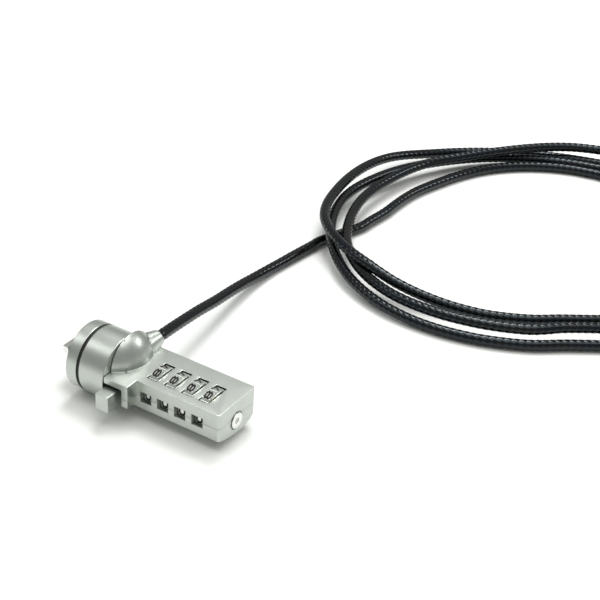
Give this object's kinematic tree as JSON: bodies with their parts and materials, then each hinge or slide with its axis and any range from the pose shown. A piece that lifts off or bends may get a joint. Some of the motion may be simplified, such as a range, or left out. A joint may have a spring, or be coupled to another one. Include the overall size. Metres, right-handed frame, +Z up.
{
  "type": "laptop cable lock",
  "caption": "Combination cable lock for a notebook computer: round head with a turning T-bar, flat body with number wheels, coated steel cable ending in a loop.",
  "frame": {"origin": "under the middle of the lock, on the surface on which it lies, on the plane of the head's axis", "axes": "+X along the head's axis from the T-bar to the tail, +Y to the side where the cable leaves, +Z up"},
  "size_m": [0.188, 0.2896, 0.0231],
  "materials": {
    "satin_zinc": "satin nickel plating on die-cast zinc, fine blasted grain",
    "bright_steel": "polished steel",
    "spring_steel": "plain spring steel",
    "black_steel": "blackened screws",
    "brass": "machined brass",
    "black_plastic": "matt black",
    "cable_jacket": "glossy black vinyl over a twisted steel cable"
  },
  "bodies": {
    "root": {"upper_shell": "satin_zinc", "lower_shell": "satin_zinc", "head_disc": "satin_zinc", "guide_pins": "bright_steel", "groove_ring": "black_plastic", "wave_washer": "spring_steel", "spindle": "bright_steel", "detent_spring": "spring_steel", "gate_spring": "spring_steel", "reset_spring": "spring_steel", "cable_stop": "bright_steel", "case_screws": "black_steel", "cable_run": "cable_jacket", "cable_coil": "cable_jacket", "end_ferrule": "bright_steel", "end_loop": "cable_jacket"},
    "turn": {"turn_sleeve": "satin_zinc", "t_bar": "bright_steel", "drive_pin": "bright_steel"},
    "gate": {"gate_bar": "brass"},
    "reset": {"reset_pin": "bright_steel"},
    "wheel_1": {"number_wheel_1": "satin_zinc", "code_ring_1": "brass"},
    "wheel_2": {"number_wheel_2": "satin_zinc", "code_ring_2": "brass"},
    "wheel_3": {"number_wheel_3": "satin_zinc", "code_ring_3": "brass"},
    "wheel_4": {"number_wheel_4": "satin_zinc", "code_ring_4": "brass"}
  },
  "joints": [
    {"name": "sleeve_turn", "type": "hinge", "parent": "root", "child": "turn", "pos_m": [-0.01372, 0, 0.01125], "axis": [1, 0, 0], "range_deg": [0, 90]},
    {"name": "gate_slide", "type": "slide", "parent": "root", "child": "gate", "axis": [0, -1, 0], "range_m": [0, 0.0012], "deforming": ["gate_spring"]},
    {"name": "reset_press", "type": "slide", "parent": "root", "child": "reset", "axis": [-1, 0, 0], "range_m": [0, 0.0012], "stiffness_N_per_m": 600, "springref_m": -0.0008, "deforming": ["reset_spring"]},
    {"name": "wheel_1_spin", "type": "hinge", "parent": "root", "child": "wheel_1", "pos_m": [0.00367, 0.0019, 0.00865], "axis": [1, 0, 0], "continuous": true},
    {"name": "wheel_2_spin", "type": "hinge", "parent": "root", "child": "wheel_2", "pos_m": [0.01021, 0.0019, 0.00865], "axis": [1, 0, 0], "continuous": true},
    {"name": "wheel_3_spin", "type": "hinge", "parent": "root", "child": "wheel_3", "pos_m": [0.01673, 0.0019, 0.00865], "axis": [1, 0, 0], "continuous": true},
    {"name": "wheel_4_spin", "type": "hinge", "parent": "root", "child": "wheel_4", "pos_m": [0.02327, 0.0019, 0.00865], "axis": [1, 0, 0], "continuous": true}
  ],
  "couplings": [
    {"joint": "gate_slide", "follows": "sleeve_turn", "m_per_rad": 0.00076394}
  ]
}
